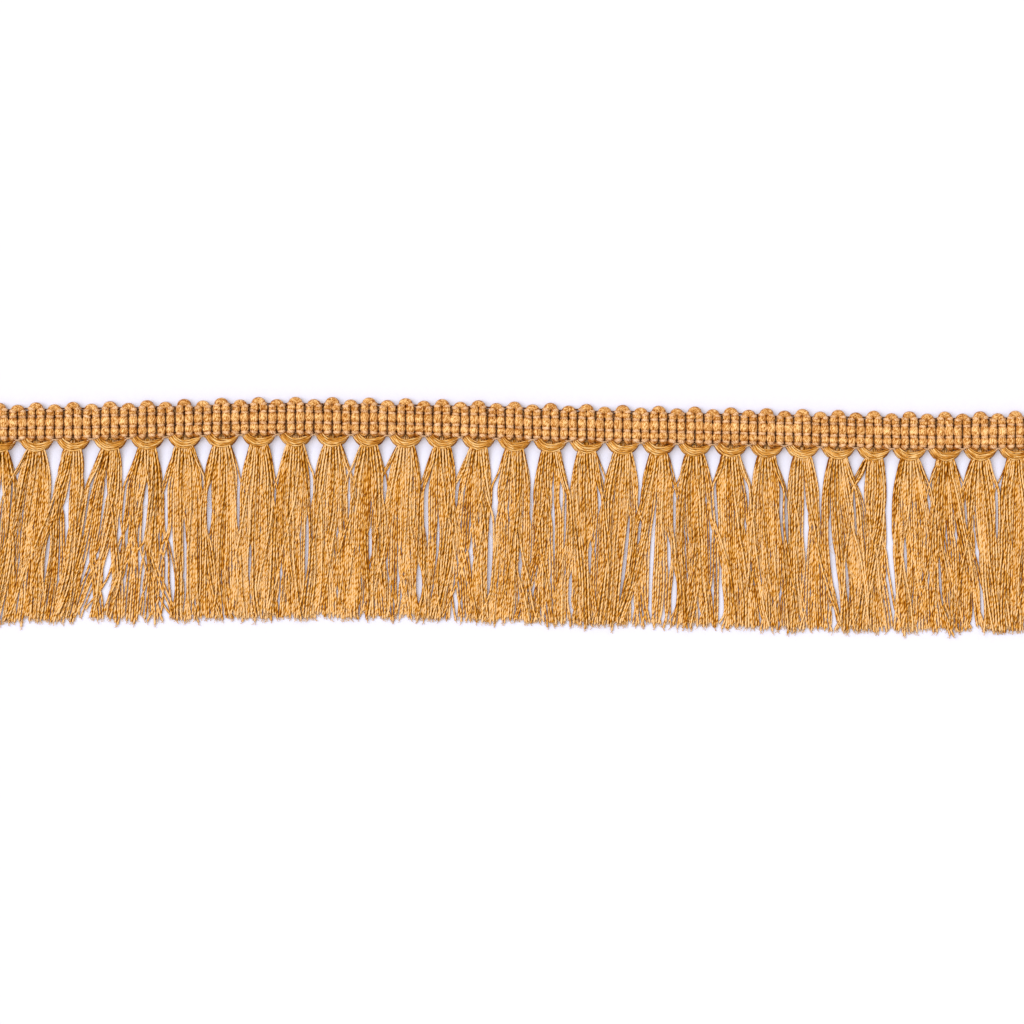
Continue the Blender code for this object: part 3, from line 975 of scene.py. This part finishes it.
def mixed_yarns(yarn, tassel, depth, shape):
    """The line that each yarn is drawn to at each depth, its lock, and which yarns cross others.

    Each starts on its own line in the fan, is gathered in a lock, and may cross its neighbours by a
    power of the depth. Whole locks change places too, so that they cross and still end evenly
    spaced. Three sines of the depth send a yarn aside: its lock's, its own and its crimp.
    """
    stray = yarn >= YARNS - STRAYS
    packed = YARNS - STRAYS
    offset = (yarn + 0.5) / packed - 0.5 + rng.uniform(-0.5, 0.5, shape) / packed
    side = rng.choice([-1.0, 1.0], shape)
    offset = np.where(stray, side * rng.uniform(*STRAY_ROOTS, shape), offset)
    lock = np.clip(np.floor((offset + 0.5) * LOCKS), 0, LOCKS - 1).astype(int)
    of_lock = tassel, lock, np.zeros_like(lock)
    lock_shape = (TASSEL_COUNT, LOCKS, 1)
    lock_middle = (lock + 0.5) / LOCKS - 0.5 + rng.normal(0, LOCK_SPREAD, shape)
    row = np.arange(TASSEL_COUNT * LOCKS)
    mixed = (row + rng.normal(0, LOCK_MIXING, row.shape)).argsort().argsort()
    lock_crossing = ((mixed - row) / LOCKS).reshape(lock_shape)[of_lock]
    crossing = (rng.random(shape) < CROSSING_YARNS) * rng.normal(0, CROSSING, shape)
    crossing = np.where(stray, side * rng.uniform(*STRAY_CROSSING, shape), crossing)
    gather = np.where(stray, 0, GATHER) * np.clip(depth * GATHER_RATE, 0, 1) * (1 - GATHER_LOSS * depth)
    reach = depth ** np.where(stray, STRAY_POWER, CROSSING_POWER)
    place = tassel + offset + gather * (lock_middle - offset) + (crossing + lock_crossing) * reach
    target = yarn_x(tassel, place, depth)
    lock_phase = rng.uniform(0, 2 * np.pi, lock_shape)[of_lock]
    phase = rng.uniform(0, 2 * np.pi, (2, *shape))
    lock_waves = rng.uniform(*LOCK_SWAY.waves, lock_shape)[of_lock]
    sway_waves = rng.uniform(*YARN_SWAY.waves, shape)
    crimp_waves = rng.uniform(*CRIMP.waves, shape)
    target = target + LOCK_SWAY.aside * depth * np.sin(2 * np.pi * lock_waves * depth + lock_phase)
    target = target + YARN_SWAY.aside * depth * np.sin(2 * np.pi * sway_waves * depth + phase[0])
    crimp = CRIMP.aside * np.sin(2 * np.pi * crimp_waves * depth + phase[1])
    target = target + crimp * np.clip(depth * CRIMP_RATE, 0, 1)
    return target, lock[..., 0], (np.abs(crossing) > 0) * np.where(stray, 0, 1)


def pushed_apart(x, z):
    """How far yarns that overlap push each other, in a tassel and between two neighbouring ones."""
    push_x, push_z = np.zeros_like(x), np.zeros_like(z)
    for first, second in ((slice(None), slice(None)), (slice(None, -1), slice(1, None))):
        apart_x = x[first][:, :, None] - x[second][:, None]
        apart_z = z[first][:, :, None] - z[second][:, None]
        gap = np.sqrt(apart_x**2 + apart_z**2) + 1e-9
        near = np.clip(YARN_SPACE - gap, 0, None) / gap
        if first == second:
            near[:, np.arange(YARNS), np.arange(YARNS)] = 0
        move_x, move_z = near * apart_x, near * apart_z
        push_x[first] += move_x.sum(axis=2)
        push_z[first] += move_z.sum(axis=2)
        if first != second:
            push_x[second] -= move_x.sum(axis=1)
            push_z[second] -= move_z.sum(axis=1)
    return push_x, push_z


def settled_yarns():
    """Where the yarns of all tassels lie at each level, along the trim and in height, and their locks.

    They are pulled down and towards their lines, and any two that come closer than a yarn's width
    push each other apart, over and over, with each yarn kept smooth along its length and to its own
    side of each slit.
    """
    tassel = np.arange(TASSEL_COUNT)[:, None, None]
    yarn = np.arange(YARNS)[None, :, None]
    depth = np.linspace(0, 1, LEVELS)[None, None, :]
    target, lock, crosses = mixed_yarns(yarn, tassel, depth, (TASSEL_COUNT, YARNS, 1))
    slits = all_slits()
    slit_x, slit_half, open_part = slit_edges(slits, depth[0])
    middle = np.round(slits[:, 1:3].mean(axis=1) * (LEVELS - 1)).astype(int)
    slit_side = [
        np.sign(target[:, :, level] - slit_x[n, level])[..., None] for n, level in enumerate(middle)
    ]
    x = target.copy()
    layer = yarn % LAYERS + 0 * tassel + CROSSING_LAYER * crosses
    z = (LAYER_LEVEL_MM + LAYER_STEP_MM * layer) * MM * np.ones((1, 1, LEVELS))
    root_x, root_z = x[:, :, 0].copy(), np.minimum(z[:, :, 0], ROOT_CEILING)
    pull = PULL + NECK_PULL * np.clip(1 - depth / NECK_REACH, 0, 1)
    for _ in range(ROUNDS):
        push_x, push_z = pushed_apart(x, z)
        x += PUSH * push_x + pull * (target - x)
        z += PUSH * push_z - SINK
        z = np.maximum(z, YARN)
        for n, side_of in enumerate(slit_side):
            edge = slit_x[n] + side_of * (slit_half[n] + YARN)
            inside = (side_of * (x - edge) < 0) & open_part[n] & (np.abs(x - slit_x[n]) < SLIT_HOLD)
            x = np.where(inside, edge, x)
        for values in (x, z):
            bend = values[:, :, 2:] + values[:, :, :-2] - 2 * values[:, :, 1:-1]
            values[:, :, 1:-1] += SMOOTHING * bend
        x[:, :, 0], z[:, :, 0] = root_x, root_z
        z[:, :, 1] = np.maximum(z[:, :, 1], 0.5 * (root_z + z[:, :, 2]))
    return x, z, lock


def finer(values, count):
    """A smooth curve through values at even steps, read at count even steps, by Catmull-Rom."""
    last = values.shape[-1] - 1
    place = np.linspace(0, last, count)
    before = np.clip(place.astype(int), 0, last - 1)
    t = place - before
    a, b, c, d = (values[..., np.clip(before + step, 0, last)] for step in (-1, 0, 1, 2))
    return from_to(a, b, c, d, t)


def end_hairs(tips, tone):
    """Fine fibres that stand out of the cut ends. They bend away with the square of the way along."""
    tips = np.repeat(tips, HAIRS, axis=0)[:, None]
    share = np.linspace(0, 1, FIBRE_STATIONS)[None, :, None]
    length = rng.uniform(*HAIR_LENGTH_MM, (len(tips), 1, 1)) * MM
    away = rng.normal(0, HAIR_BEND_MM, (len(tips), 1, 3)) * np.array(HAIR_BEND_SHARES) * MM
    away[..., 2] = np.abs(away[..., 2])
    apart = rng.uniform(-HAIR_APART_MM, HAIR_APART_MM, (len(tips), 1, 3))
    apart = apart * np.array(HAIR_APART_SHARES) * MM
    centre = tips + apart + share * length * np.array([0.0, -1.0, 0.0]) + share**2 * away
    centre[..., 2] = np.maximum(centre[..., 2], HAIR)
    tone = np.repeat(tone, HAIRS, axis=0)
    return tubes(centre, HAIR, HAIR, sides=3, up=(0, 0, 1), tone=tone, shade=FIBRE_PAINTED_LIGHT)


def loose_fibres(yarns, tone):
    """Fine fibres that have come loose from the yarns. They run beside them and bend with the square."""
    chosen = rng.integers(0, len(yarns), LOOSE)
    station = rng.integers(LOOSE_ABOVE, yarns.shape[1] - LOOSE_BELOW, LOOSE)
    start = yarns[chosen, station][:, None]
    direction = unit(yarns[chosen, station + LOOSE_LOOK] - yarns[chosen, station])[:, None]
    share = np.linspace(0, 1, FIBRE_STATIONS)[None, :, None]
    length = rng.uniform(*LOOSE_LENGTH_MM, (LOOSE, 1, 1)) * MM
    aside = rng.normal(0, 1, (LOOSE, 2, 1)) * np.array([LOOSE_BEND_MM, 0.0, 0.0]) * MM
    centre = start + share * length * direction + share * aside[:, :1] + share**2 * aside[:, 1:]
    centre[..., 2] += YARN + LOOSE_FIBRE
    tone, size = tone[chosen], LOOSE_FIBRE
    return tubes(centre, size, size, sides=3, up=(0, 0, 1), tone=tone, shade=FIBRE_PAINTED_LIGHT)


def yarn_lines(tassel, x, z):
    """A tassel's yarns from their roots behind the swag to their cut ends.

    They are equally long before they are cut unevenly, so one that leans ends higher.
    """
    root_y = line_y(tassel) - HEADING_DEPTH - NECK_DEPTH + ROOT_INSIDE
    length = DROP - HEADING_DEPTH - NECK_DEPTH + ROOT_INSIDE
    lean = x[:, -1] - x[:, 0]
    longer = (rng.random(YARNS) < LONG_YARNS) * rng.uniform(*LONG_CUT_MM, YARNS)
    cut = (rng.uniform(*CUT_MM, YARNS) - longer) * MM
    end_y = root_y - np.sqrt(length**2 - lean**2) + cut
    y = root_y + (end_y - root_y)[:, None] * np.linspace(0, 1, YARN_STATIONS)
    centre = np.stack([x, y, z], -1)
    top = centre[:, :1] + np.array([0.0, ROOT_RISE, 0.0])
    top[..., 2] = ROOT_LEVEL + ROOT_SLOPE * centre[:, :1, 2]
    return np.concatenate([top, centre], axis=1)


def add_tassels(yarn_material, swag_material):
    """The swag and the yarns of each tassel."""
    x_levels, z_levels, locks = settled_yarns()
    lock_shades = shade_rng.normal(0, LOCK_SHADE, (TASSEL_COUNT, LOCKS))
    radius = np.where(np.arange(YARNS) < YARNS - STRAYS, YARN, STRAY_YARN)[:, None]
    for tassel in range(TASSEL_COUNT):
        x = finer(x_levels[tassel], YARN_STATIONS)
        z = np.maximum(finer(z_levels[tassel], YARN_STATIONS), radius * YARN_CLEARANCE)
        centre = yarn_lines(tassel, x, z)
        run = run_length(centre)
        # Over its last millimetre a yarn frays thicker and is made lighter, as painted light
        tip = np.clip((run - run[:, -1:]) / MM + FRAY_START_MM, 0, 1)
        size = radius * (1 + FRAY * rng.uniform(0, 1, (YARNS, 1)) * tip)
        tone = rng.random((YARNS, 1))
        # Painted shade on yarns that lie low under others and painted light on those on top; the locks'
        # shades differ by chance
        over = centre[..., 2] - np.percentile(centre[..., 2], UNDER_YARNS, axis=0)
        shade = UNDER_PAINTED_SHADE * np.clip(over / UNDER_RANGE, -1, OVER_RANGE) + CUT_PAINTED_LIGHT * tip
        shade = shade + lock_shades[tassel, locks[tassel]][:, None]
        strands = tubes(centre, size, size, sides=6, up=(0, 0, 1), tone=tone, shade=shade)
        name = f"{tassel + 1:02d}"
        parts = [strands, end_hairs(centre[:, -1], tone), loose_fibres(centre, tone)]
        add_piece(f"yarns_{name}", parts, yarn_material, [f"tassel_{name}"])
        add_piece(f"swag_{name}", [swag_tubes(tassel)], swag_material)


def add_floor(material):
    """A plane a metre and a half wide."""
    half = 0.75
    mesh = bpy.data.meshes.new("floor")
    corners = [(-half, -half, 0), (half, -half, 0), (half, half, 0), (-half, half, 0)]
    mesh.from_pydata(corners, [], [(0, 1, 2, 3)])
    mesh.materials.append(material)
    floor = bpy.data.objects.new("floor", mesh)
    bpy.context.scene.collection.objects.link(floor)


def add_light(name, place, spread, power, colour):
    """A far soft light that shines from a place towards the middle of the trim."""
    lamp = bpy.data.lights.new(name, "SUN")
    lamp.angle = spread
    lamp.energy = power
    lamp.color = colour
    light = bpy.data.objects.new(name, lamp)
    light.location = place
    light.rotation_euler = (-light.location).to_track_quat("-Z", "Y").to_euler()
    bpy.context.scene.collection.objects.link(light)


def add_camera():
    """A camera straight above the trim, whose ends it leaves out at both sides."""
    lens = bpy.data.cameras.new("camera")
    lens.sensor_width = SENSOR
    lens.lens = SENSOR * VIEW_HEIGHT / VIEW_WIDTH
    lens.clip_start = 0.05
    camera = bpy.data.objects.new("camera", lens)
    camera.location = (*VIEW_CENTRE, VIEW_HEIGHT)
    bpy.context.scene.collection.objects.link(camera)
    bpy.context.scene.camera = camera


def set_world():
    """Even light from all sides, and plain colours."""
    world = bpy.data.worlds.new("studio")
    world.use_nodes = True
    background = world.node_tree.nodes["Background"]
    background.inputs["Color"].default_value = (0.99, 0.96, 0.95, 1.0)
    background.inputs["Strength"].default_value = 0.78
    bpy.context.scene.world = world
    bpy.context.scene.view_settings.view_transform = "Standard"


yarn_finish = wound_finish(
    "gold_yarn",
    YARN_STOPS,
    Blend(ply=0.60, fibres=2.3, slow=0.5, tone=0.42, side=2.8, edge=1.4, base=0.22),
    Twist(plies=2, turn_mm=2.5, across=4.0, along=0.7, lay_mm=12.0, face=0.5),
    roughness=0.34,
    relief=0.05 * MM,
)
swag_finish = wound_finish(
    "gold_swag",
    SWAG_STOPS,
    Blend(ply=0.35, fibres=2.5, slow=0.4, tone=0.20, side=1.0, edge=1.6, base=0.18),
    Twist(plies=5, turn_mm=9.0, across=9.0, along=0.40, lay_mm=14.0, face=0.25),
    roughness=0.38,
    relief=0.22 * MM,
)
gimp_finish = wound_finish(
    "gold_gimp",
    GIMP_STOPS,
    Blend(ply=0.45, fibres=2.3, slow=0.4, tone=0.0, side=0.5, edge=4.0, base=0.35),
    Twist(plies=12, turn_mm=14.0, across=18.0, along=2.0, lay_mm=20.0, face=0.5),
    roughness=0.36,
    relief=0.14 * MM,
)
binding_finish = wound_finish(
    "binding_thread",
    BINDING_STOPS,
    Blend(ply=0.35, fibres=1.5, slow=0.3, tone=0.0, side=0.8, edge=2.0, base=0.18),
    Twist(plies=4, turn_mm=3.0, across=5.0, along=1.6, lay_mm=4.0, face=0.25),
    roughness=0.6,
    relief=0.12 * MM,
)

add_camera()
set_world()
add_light("key", (-0.60, 0.12, 0.95), spread=0.80, power=2.1, colour=(1.0, 0.99, 0.98))
add_light("fill", (0.60, 0.10, 0.90), spread=0.90, power=0.3, colour=(0.97, 0.98, 1.0))
add_floor(paper_finish())
gimp = add_gimp(gimp_finish)
others = [add_binding(binding_finish), add_ground(gimp_finish)]
add_tassels(yarn_finish, swag_finish)
others += [piece for piece in bpy.data.objects if piece.name.startswith(("yarns_", "swag_"))]
